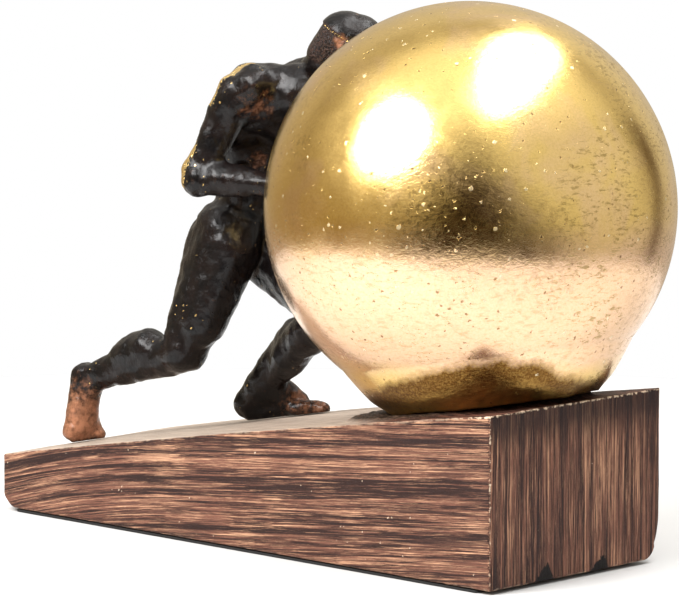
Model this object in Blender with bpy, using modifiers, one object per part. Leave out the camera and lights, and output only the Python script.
"""Desk sculpture: a man pushing a large gold ball up a wedge.

Lengths are in metres, +Z is up, the ramp rises along +X and the long side
that is seen first faces -Y. The middle of the underside is the origin.
"""
import bpy
import bmesh
import math
from mathutils import Matrix, Vector

# Wedge
BASE_LENGTH = 0.200
BASE_WIDTH = 0.073
LOW_END_TOP = 0.0172
TALL_END_TOP = 0.0505
RAMP_BULGE = 0.00105
RAMP_STEPS = 24
CORNER_RADIUS = 0.0030
EDGE_SOFTNESS = 0.0007
LOW_TOE_LIFT = 0.0042
LOW_TOE_RUN = 0.0048

# Pad under the wedge
PAD_THICKNESS = 0.0008
PAD_INSET = 0.0004

# Ball
BALL_RADIUS = 0.0592
BALL_ALONG = 0.7947
BALL_SINK = 0.0022
FOOT_RING_RADIUS = 0.0302
FOOT_FLARE_HEIGHT = 0.0150
FOOT_FLARE_FULLNESS = 0.0005
FOOT_FLARE_STEPS = 5
BALL_SEGMENTS = 48
BALL_ARC_STEPS = 24

# Every joint between two pieces is left open by this much
JOINT_GAP = 0.0003

# Figure
FIGURE_HEIGHT = 0.160
FIGURE_UNITS = 160.0
BODY_MIDDLE = 9.3
HEAD_BOW = 26.0
HEAD_TURN = 38.0
FORM_SEGMENTS = 20
FORM_RINGS = 12
VOXEL = 0.00062
SMOOTH_STEPS = 8
FIGURE_FACES = 6200

UNIT = FIGURE_HEIGHT / FIGURE_UNITS
RAMP_RISE = TALL_END_TOP - LOW_END_TOP
WEDGE_BOTTOM = PAD_THICKNESS + JOINT_GAP
BALL_X = BASE_LENGTH * (BALL_ALONG - 0.5)


def ramp_height(x):
    """Height of the slightly convex ramp at a place along the wedge."""
    share = x / BASE_LENGTH + 0.5
    return LOW_END_TOP + RAMP_RISE * share + 4.0 * RAMP_BULGE * share * (1.0 - share)


RAMP_ANGLE = math.atan2(RAMP_RISE, BASE_LENGTH)
RAMP_NORMAL = Vector((-math.sin(RAMP_ANGLE), 0.0, math.cos(RAMP_ANGLE)))
BALL_FOOT = Vector((BALL_X, 0.0, ramp_height(BALL_X)))
BALL_CENTRE = BALL_FOOT + Vector((0.0, 0.0, (BALL_RADIUS - BALL_SINK) / math.cos(RAMP_ANGLE)))
BODY_ORIGIN_X = BALL_CENTRE.x - BALL_RADIUS
PELVIS_X = -43.0


def clear_scene():
    for item in list(bpy.data.objects):
        bpy.data.objects.remove(item, do_unlink=True)


def new_collection(name):
    collection = bpy.data.collections.new(name)
    bpy.context.scene.collection.children.link(collection)
    return collection


def new_object(name, bm, collection):
    mesh = bpy.data.meshes.new(name)
    bm.to_mesh(mesh)
    bm.free()
    item = bpy.data.objects.new(name, mesh)
    collection.objects.link(item)
    return item


def new_material(name, colour, metallic, roughness):
    material = bpy.data.materials.new(name)
    material.use_nodes = True
    shader = material.node_tree.nodes["Principled BSDF"]
    shader.inputs["Base Color"].default_value = colour
    shader.inputs["Metallic"].default_value = metallic
    shader.inputs["Roughness"].default_value = roughness
    material.diffuse_color = colour
    return material


def apply_modifiers(item):
    """Turn the evaluated shape into plain mesh data."""
    graph = bpy.context.evaluated_depsgraph_get()
    graph.update()
    mesh = bpy.data.meshes.new_from_object(item.evaluated_get(graph))
    item.modifiers.clear()
    item.data = mesh


def cut(item, cutter, operation="DIFFERENCE"):
    modifier = item.modifiers.new("cut", "BOOLEAN")
    modifier.operation = operation
    modifier.solver = "EXACT"
    modifier.object = cutter
    apply_modifiers(item)


def as_cutter(item):
    item.hide_render = True
    item.display_type = "WIRE"
    return item


def wedge_profile(lift, grow):
    """Side outline of the wedge, with its top raised and its ends moved out."""
    points = []
    left = -0.5 * BASE_LENGTH - grow
    right = 0.5 * BASE_LENGTH + grow
    bottom = WEDGE_BOTTOM - grow
    points.append((left + LOW_TOE_RUN, bottom))
    points.append((right, bottom))
    for step in range(RAMP_STEPS, -1, -1):
        x = left + (right - left) * step / RAMP_STEPS
        points.append((x, ramp_height(x) + lift))
    points.append((left, bottom + LOW_TOE_LIFT))
    points.append((left + 0.29 * LOW_TOE_RUN, bottom + 0.29 * LOW_TOE_LIFT))
    return points


def wedge_solid(name, lift, grow, collection):
    """The side outline carried across the width."""
    bm = bmesh.new()
    half = 0.5 * BASE_WIDTH + grow
    corners = [bm.verts.new((x, -half, z)) for x, z in wedge_profile(lift, grow)]
    side = bm.faces.new(corners)
    moved = bmesh.ops.extrude_face_region(bm, geom=[side])
    far = [part for part in moved["geom"] if isinstance(part, bmesh.types.BMVert)]
    bmesh.ops.translate(bm, verts=far, vec=(0.0, 2.0 * half, 0.0))
    bmesh.ops.recalc_face_normals(bm, faces=bm.faces)
    return new_object(name, bm, collection)


def rounded_block(name, length, width, bottom, top, radius, collection):
    """A block with its four upright corners rounded."""
    bm = bmesh.new()
    bmesh.ops.create_cube(bm, size=1.0)
    bmesh.ops.scale(bm, vec=(length, width, top - bottom), verts=bm.verts)
    bmesh.ops.translate(bm, vec=(0.0, 0.0, 0.5 * (top + bottom)), verts=bm.verts)
    upright = []
    for edge in bm.edges:
        rise = edge.verts[0].co - edge.verts[1].co
        if abs(rise.z) > 0.5 * (top - bottom):
            upright.append(edge)
    bmesh.ops.bevel(bm, geom=upright, offset=radius, segments=5, profile=0.5, affect="EDGES")
    bmesh.ops.recalc_face_normals(bm, faces=bm.faces)
    return new_object(name, bm, collection)


def build_base(parts, cutters):
    base = wedge_solid("wedge_base", 0.0, 0.0, parts)
    plan = rounded_block(
        "base plan", BASE_LENGTH, BASE_WIDTH, -0.01, 2.0 * TALL_END_TOP, CORNER_RADIUS, cutters
    )
    as_cutter(plan)
    cut(base, plan, "INTERSECT")
    bevel = base.modifiers.new("soft edges", "BEVEL")
    bevel.width = EDGE_SOFTNESS
    bevel.segments = 2
    bevel.limit_method = "ANGLE"
    bevel.angle_limit = math.radians(40.0)
    apply_modifiers(base)
    return base


def build_pad(parts):
    return rounded_block(
        "felt_pad",
        BASE_LENGTH - 2.0 * (PAD_INSET + LOW_TOE_RUN),
        BASE_WIDTH - 2.0 * PAD_INSET,
        0.0,
        PAD_THICKNESS,
        CORNER_RADIUS,
        parts,
    )


def ball_profile():
    """Half outline from the top of the ball down its flared foot."""
    drop = BALL_RADIUS - BALL_SINK
    join_angle = math.acos((drop - FOOT_FLARE_HEIGHT) / BALL_RADIUS)
    join_radius = BALL_RADIUS * math.sin(join_angle)
    points = []
    for step in range(BALL_ARC_STEPS + 1):
        angle = (math.pi - join_angle) * step / BALL_ARC_STEPS
        points.append((BALL_RADIUS * math.sin(angle), drop + BALL_RADIUS * math.cos(angle)))
    for step in range(1, FOOT_FLARE_STEPS + 1):
        share = step / FOOT_FLARE_STEPS
        fullness = 4.0 * FOOT_FLARE_FULLNESS * share * (1.0 - share)
        radius = join_radius + (FOOT_RING_RADIUS - join_radius) * share + fullness
        points.append((radius, FOOT_FLARE_HEIGHT * (1.0 - share)))
    under = -2.0 * RAMP_BULGE
    points.append((FOOT_RING_RADIUS, under))
    points.append((0.0, under))
    return points


def build_ball(parts, ramp_cutter):
    bm = bmesh.new()
    verts = [bm.verts.new((radius, 0.0, height)) for radius, height in ball_profile()]
    edges = [bm.edges.new(pair) for pair in zip(verts[:-1], verts[1:])]
    bmesh.ops.spin(
        bm,
        geom=verts + edges,
        cent=(0.0, 0.0, 0.0),
        axis=(0.0, 0.0, 1.0),
        angle=2.0 * math.pi,
        steps=BALL_SEGMENTS,
    )
    bmesh.ops.remove_doubles(bm, verts=bm.verts, dist=0.00001)
    bmesh.ops.recalc_face_normals(bm, faces=bm.faces)
    tilt = Matrix.Rotation(-RAMP_ANGLE, 4, "Y")
    bmesh.ops.transform(bm, matrix=tilt, verts=bm.verts)
    foot = BALL_CENTRE - RAMP_NORMAL * (BALL_RADIUS - BALL_SINK)
    bmesh.ops.translate(bm, vec=foot, verts=bm.verts)
    ball = new_object("ball", bm, parts)
    cut(ball, ramp_cutter)
    return ball


def body(x, y, z):
    """A place on the man in his own units, from the ball's near pole and the ramp below him."""
    floor = ramp_height(BODY_ORIGIN_X + PELVIS_X * UNIT)
    return Vector((BODY_ORIGIN_X + x * UNIT, y * UNIT, floor + z * UNIT))


def on_ramp(x, y, z):
    """A place in the man's units, measured up from the ramp right below it."""
    along = BODY_ORIGIN_X + x * UNIT
    return Vector((along, y * UNIT, ramp_height(along) + z * UNIT))


def on_ball(side, up, out):
    """A place on the ball's near face: degrees to the side, degrees up, units off it."""
    turn = math.radians(side)
    lift = math.radians(up)
    ray = Vector((-math.cos(lift) * math.cos(turn), math.cos(lift) * math.sin(turn), math.sin(lift)))
    return BALL_CENTRE + ray * (BALL_RADIUS + out * UNIT)


def form(bm, start, end, start_radius, end_radius, wide=1.0, side=(0.0, 1.0, 0.0)):
    """A ball pulled apart into a tapered limb, widened along one side direction."""
    made = bmesh.ops.create_uvsphere(
        bm, u_segments=FORM_SEGMENTS, v_segments=FORM_RINGS, radius=1.0
    )
    axis = end - start
    if axis.length < 1e-6:
        axis = Vector((0.0, 0.0, 1.0))
    axis.normalize()
    across = Vector(side) - axis * axis.dot(Vector(side))
    if across.length < 0.05:
        across = axis.orthogonal()
    across.normalize()
    other = axis.cross(across)
    for vert in made["verts"]:
        local = vert.co.copy()
        upper = local.z > -0.001
        centre = end if upper else start
        radius = (end_radius if upper else start_radius) * UNIT
        offset = across * (local.x * wide) + other * local.y + axis * local.z
        vert.co = centre + offset * radius


def mirrored(point):
    """The matching place on the other half of the trunk."""
    return Vector((point.x, 2.0 * BODY_MIDDLE * UNIT - point.y, point.z))


def pair(bm, start, end, start_radius, end_radius, wide=1.0, side=(0.0, 1.0, 0.0)):
    """A form on both halves of the trunk."""
    form(bm, start, end, start_radius, end_radius, wide, side)
    turned = (side[0], -side[1], side[2])
    form(bm, mirrored(start), mirrored(end), start_radius, end_radius, wide, turned)


def build_trunk(bm):
    form(bm, body(-41.2, 3.5, 58.6), body(-42.7, 14.8, 58.6), 9.0, 9.0)
    form(bm, body(-40.0, 4.0, 52.5), body(-36.5, 12.0, 52.5), 7.0, 7.0)
    form(bm, body(-41.5, 9.0, 63.0), body(-34.5, 9.3, 85.0), 8.0, 8.6, 1.30)
    form(bm, body(-34.0, 9.3, 85.0), body(-25.5, 9.3, 98.5), 9.6, 9.4, 1.50)
    form(bm, body(-25.0, -1.0, 105.6), body(-25.0, 19.6, 105.6), 6.3, 6.3)
    form(bm, body(-34.5, 9.3, 90.0), body(-30.0, 9.3, 102.0), 7.6, 7.6, 1.6)
    pair(bm, body(-47.0, 1.5, 55.5), body(-43.5, 3.0, 59.5), 8.6, 8.2)
    pair(bm, body(-19.0, 4.0, 95.5), body(-22.0, -4.5, 99.5), 5.8, 4.8)
    pair(bm, body(-32.0, -3.5, 94.0), body(-37.0, 2.5, 75.0), 5.6, 4.0)
    pair(bm, body(-35.0, 1.5, 101.0), body(-32.0, -3.5, 96.5), 5.8, 5.0)
    pair(bm, body(-45.5, 6.6, 68.0), body(-39.5, 6.4, 90.0), 3.6, 3.4)
    pair(bm, body(-33.0, 6.3, 74.0), body(-28.0, 6.3, 86.0), 4.6, 4.6)
    form(bm, body(-24.0, 9.3, 105.4), body(-3.5, 9.8, 111.0), 7.0, 5.8)
    pair(bm, body(-24.5, 0.0, 107.0), body(-12.0, 6.5, 108.8), 4.8, 4.8)


def head_place(ahead, left, up):
    """A place on the head, from its middle, after it is bowed and turned to the man's left."""
    bow = math.radians(HEAD_BOW)
    turn = math.radians(HEAD_TURN)
    forward = ahead * math.cos(bow) + up * math.sin(bow)
    height = up * math.cos(bow) - ahead * math.sin(bow)
    x = forward * math.cos(turn) - left * math.sin(turn)
    y = forward * math.sin(turn) + left * math.cos(turn)
    return body(2.4 + x, 9.8 + y, 115.6 + height)


def build_head(bm):
    turn = math.radians(HEAD_TURN)
    left = (-math.sin(turn), math.cos(turn), 0.0)
    form(bm, head_place(-2.6, 0.0, 2.2), head_place(1.6, 0.0, 1.6), 8.3, 7.8, 0.94, left)
    form(bm, head_place(-3.0, 0.0, 2.4), head_place(0.4, 0.0, 3.4), 8.5, 7.9, 0.98, left)
    form(bm, head_place(-5.2, 0.0, -3.6), head_place(-4.0, 0.0, 0.0), 6.2, 7.5, 1.0, left)
    form(bm, head_place(3.6, 0.0, -1.0), head_place(5.0, 0.0, -6.0), 6.2, 4.5, 0.96, left)
    form(bm, head_place(6.0, 0.0, -8.4), head_place(6.4, 0.0, -8.8), 2.6, 2.5, 1.2, left)
    form(bm, head_place(8.4, 0.0, 0.4), head_place(10.0, 0.0, -3.2), 1.0, 1.4)
    form(bm, head_place(7.6, -3.2, 1.6), head_place(7.6, 3.2, 1.6), 1.5, 1.5)
    form(bm, head_place(8.5, -1.4, -5.6), head_place(8.5, 1.4, -5.6), 1.2, 1.2)
    for sign in (-1.0, 1.0):
        top = head_place(-0.8, sign * 8.0, 0.8)
        lobe = head_place(0.0, sign * 7.8, -2.6)
        form(bm, top, lobe, 1.5, 1.1, 0.7, left)


def build_arm(bm, shoulder, elbow, wrist, ball_side, ball_up, outward):
    """Upper arm, forearm and a hand pressed flat on the ball."""
    side = (0.0, outward, 0.0)
    upper = elbow - shoulder
    lower = wrist - elbow
    back = Vector((-1.0, 0.0, 0.0)) * UNIT
    front = Vector((1.0, 0.0, 0.0)) * UNIT
    out = Vector((0.0, outward, 0.0)) * UNIT
    form(bm, shoulder + out * 0.5, shoulder + upper * 0.30 + out * 1.0, 7.9, 5.2, 1.0, side)
    form(bm, shoulder, elbow, 5.2, 4.4)
    form(bm, shoulder + upper * 0.42 + front * 1.6, shoulder + upper * 0.70 + front * 1.4, 4.2, 3.8)
    form(bm, shoulder + upper * 0.34 + back * 2.6, shoulder + upper * 0.74 + back * 1.8, 4.4, 3.7)
    form(bm, elbow, elbow + back * 1.2, 4.8, 4.4)
    form(bm, elbow, wrist, 4.9, 3.2)
    form(bm, elbow + lower * 0.12 + out * 0.8, elbow + lower * 0.42 + out * 0.3, 5.6, 4.5)
    palm_low = on_ball(ball_side, ball_up, 2.2)
    palm_high = on_ball(ball_side, ball_up + 6.5, 1.7)
    form(bm, wrist, palm_low, 3.1, 2.9, 1.25, side)
    form(bm, palm_low, palm_high, 2.7, 2.2, 1.75, side)
    for finger in range(4):
        spread = (finger - 1.5) * outward
        reach = (9.6, 11.4, 11.0, 8.4)[finger]
        root = on_ball(ball_side + spread * 2.3, ball_up + 7.0, 1.2)
        tip = on_ball(ball_side + spread * 3.2, ball_up + 7.0 + reach, 0.9)
        form(bm, root, tip, 1.5, 1.2)
    thumb_root = on_ball(ball_side - outward * 3.6, ball_up + 2.0, 1.3)
    thumb_tip = on_ball(ball_side - outward * 8.2, ball_up + 7.6, 0.9)
    form(bm, thumb_root, thumb_tip, 1.8, 1.35)


def build_leg(bm, hip, knee, ankle, forward, calf_side):
    """Thigh, knee and shin with their main muscles."""
    thigh = knee - hip
    shin = ankle - knee
    ahead = forward * UNIT
    behind = calf_side * UNIT
    form(bm, hip, knee, 10.4, 7.2)
    form(bm, hip + thigh * 0.18 + ahead * 4.8, hip + thigh * 0.74 + ahead * 4.0, 8.8, 7.2)
    form(bm, hip + thigh * 0.22 - ahead * 4.2, hip + thigh * 0.82 - ahead * 3.2, 8.8, 6.2)
    form(bm, knee - thigh * 0.04, knee + shin * 0.04, 6.8, 6.4)
    form(bm, knee + ahead * 3.2, knee + shin * 0.06 + ahead * 2.4, 3.8, 3.6)
    form(bm, knee, ankle, 5.9, 4.2)
    form(bm, knee + shin * 0.24 + behind * 4.4, knee + shin * 0.54 + behind * 3.4, 6.8, 5.8)
    form(bm, knee + shin * 0.40 + behind * 2.6, knee + shin * 0.86 + behind * 1.0, 5.2, 3.6)
    form(bm, knee + shin * 0.16 - behind * 2.4, knee + shin * 0.70 - behind * 2.0, 5.4, 4.0)


def build_rear_foot(bm, ankle):
    """The foot stands on its toes with the heel raised."""
    heel = on_ramp(-89.8, -10.6, 20.4)
    arch = on_ramp(-91.2, -11.0, 12.6)
    tread = on_ramp(-91.0, -11.4, 5.4)
    form(bm, ankle, heel, 4.4, 4.3)
    form(bm, ankle + Vector((7.0, 0.2, 3.0)) * UNIT, heel, 3.8, 3.4)
    form(bm, heel, arch, 4.4, 4.4, 1.05)
    form(bm, ankle, tread, 4.4, 4.0)
    form(bm, arch, tread, 4.4, 4.7, 1.25)
    form(bm, on_ramp(-90.8, -14.6, 4.6), on_ramp(-90.8, -8.0, 4.6), 4.0, 4.2)
    for toe in range(5):
        across = -15.6 + 2.15 * toe
        reach = (-87.2, -86.0, -85.2, -84.6, -84.0)[toe]
        thick = (1.5, 1.6, 1.6, 1.7, 2.2)[toe]
        form(bm, on_ramp(-90.4, across, 3.6), on_ramp(reach, across, 1.6), 2.8, thick)


def build_front_foot(bm, ankle):
    """The foot stands flat with its toes turned out."""
    heel = on_ramp(-47.5, 17.6, 4.8)
    turn = Vector((0.857, 0.515, 0.0))
    out = Vector((-0.515, 0.857, 0.0))
    start = heel.copy()
    form(bm, ankle, heel, 5.0, 5.0)
    form(bm, ankle + Vector((5.0, -1.0, 6.0)) * UNIT, ankle, 5.0, 4.8)
    form(bm, heel, on_ramp(-44.5, 19.4, 3.8), 4.9, 4.4)
    form(bm, ankle, on_ramp(-35.5, 25.4, 3.6), 5.0, 3.6, 1.2)
    form(bm, on_ramp(-44.0, 19.7, 3.6), on_ramp(-35.0, 25.6, 2.8), 4.3, 3.4, 1.25)
    for toe in range(5):
        sideways = -3.9 + 2.0 * toe
        length = (24.2, 24.4, 23.4, 21.8, 19.6)[toe]
        thick = (2.0, 1.6, 1.5, 1.4, 1.4)[toe]
        root = start + (turn * 15.0 + out * sideways) * UNIT
        tip = start + (turn * length + out * sideways) * UNIT
        root.z = ramp_height(root.x) + 2.4 * UNIT
        tip.z = ramp_height(tip.x) + 1.3 * UNIT
        form(bm, root, tip, 2.5, thick)


def build_figure(parts, ramp_cutter, ball_cutter):
    bm = bmesh.new()
    build_trunk(bm)
    build_head(bm)
    build_arm(
        bm, body(-25.0, -8.8, 102.5), body(-33.2, -17.2, 78.2), body(-7.0, -6.6, 76.0),
        -6.0, 2.0, -1.0,
    )
    build_arm(
        bm, body(-25.0, 27.4, 102.5), body(-31.0, 35.0, 80.5), body(-4.5, 24.5, 80.0),
        23.5, 5.5, 1.0,
    )
    rear_ankle = on_ramp(-87.6, -10.2, 19.6)
    front_ankle = on_ramp(-39.0, 17.6, 11.0)
    build_leg(
        bm, body(-39.5, 0.5, 59.0), body(-50.0, -7.5, 23.4), rear_ankle,
        Vector((0.92, -0.25, -0.30)), Vector((-0.25, 0.0, 0.97)),
    )
    build_leg(
        bm, body(-43.0, 16.6, 57.5), body(-8.5, 12.0, 38.0), front_ankle,
        Vector((0.45, 0.0, 0.89)), Vector((-0.62, 0.0, -0.30)),
    )
    build_rear_foot(bm, rear_ankle)
    build_front_foot(bm, front_ankle)
    bmesh.ops.recalc_face_normals(bm, faces=bm.faces)
    figure = new_object("figure", bm, parts)
    remesh = figure.modifiers.new("one skin", "REMESH")
    remesh.mode = "VOXEL"
    remesh.voxel_size = VOXEL
    smooth = figure.modifiers.new("soft forms", "SMOOTH")
    smooth.factor = 0.5
    smooth.iterations = SMOOTH_STEPS
    apply_modifiers(figure)
    cut(figure, ball_cutter)
    cut(figure, ramp_cutter)
    triangulate = figure.modifiers.new("triangles", "TRIANGULATE")
    triangulate.quad_method = "BEAUTY"
    apply_modifiers(figure)
    decimate = figure.modifiers.new("fewer faces", "DECIMATE")
    decimate.ratio = min(1.0, FIGURE_FACES / len(figure.data.polygons))
    apply_modifiers(figure)
    return figure


def build_cutters(cutters):
    ramp_cutter = as_cutter(wedge_solid("ramp clearance", JOINT_GAP, JOINT_GAP, cutters))
    bm = bmesh.new()
    bmesh.ops.create_uvsphere(
        bm, u_segments=96, v_segments=64, radius=BALL_RADIUS + 1.6 * JOINT_GAP
    )
    bmesh.ops.translate(bm, vec=BALL_CENTRE, verts=bm.verts)
    ball_cutter = as_cutter(new_object("ball clearance", bm, cutters))
    return ramp_cutter, ball_cutter


def main():
    clear_scene()
    parts = new_collection("sisyphus statue")
    cutters = new_collection("cutters")
    ramp_cutter, ball_cutter = build_cutters(cutters)
    pieces = {
        "base paint": build_base(parts, cutters),
        "pad felt": build_pad(parts),
        "ball gold": build_ball(parts, ramp_cutter),
        "figure paint": build_figure(parts, ramp_cutter, ball_cutter),
    }
    looks = {
        "base paint": ((0.10, 0.055, 0.045, 1.0), 0.0, 0.55),
        "pad felt": ((0.012, 0.012, 0.012, 1.0), 0.0, 0.9),
        "ball gold": ((0.75, 0.53, 0.18, 1.0), 1.0, 0.22),
        "figure paint": ((0.02, 0.018, 0.018, 1.0), 0.1, 0.38),
    }
    for name, item in pieces.items():
        colour, metallic, roughness = looks[name]
        item.data.materials.clear()
        item.data.materials.append(new_material(name, colour, metallic, roughness))


main()
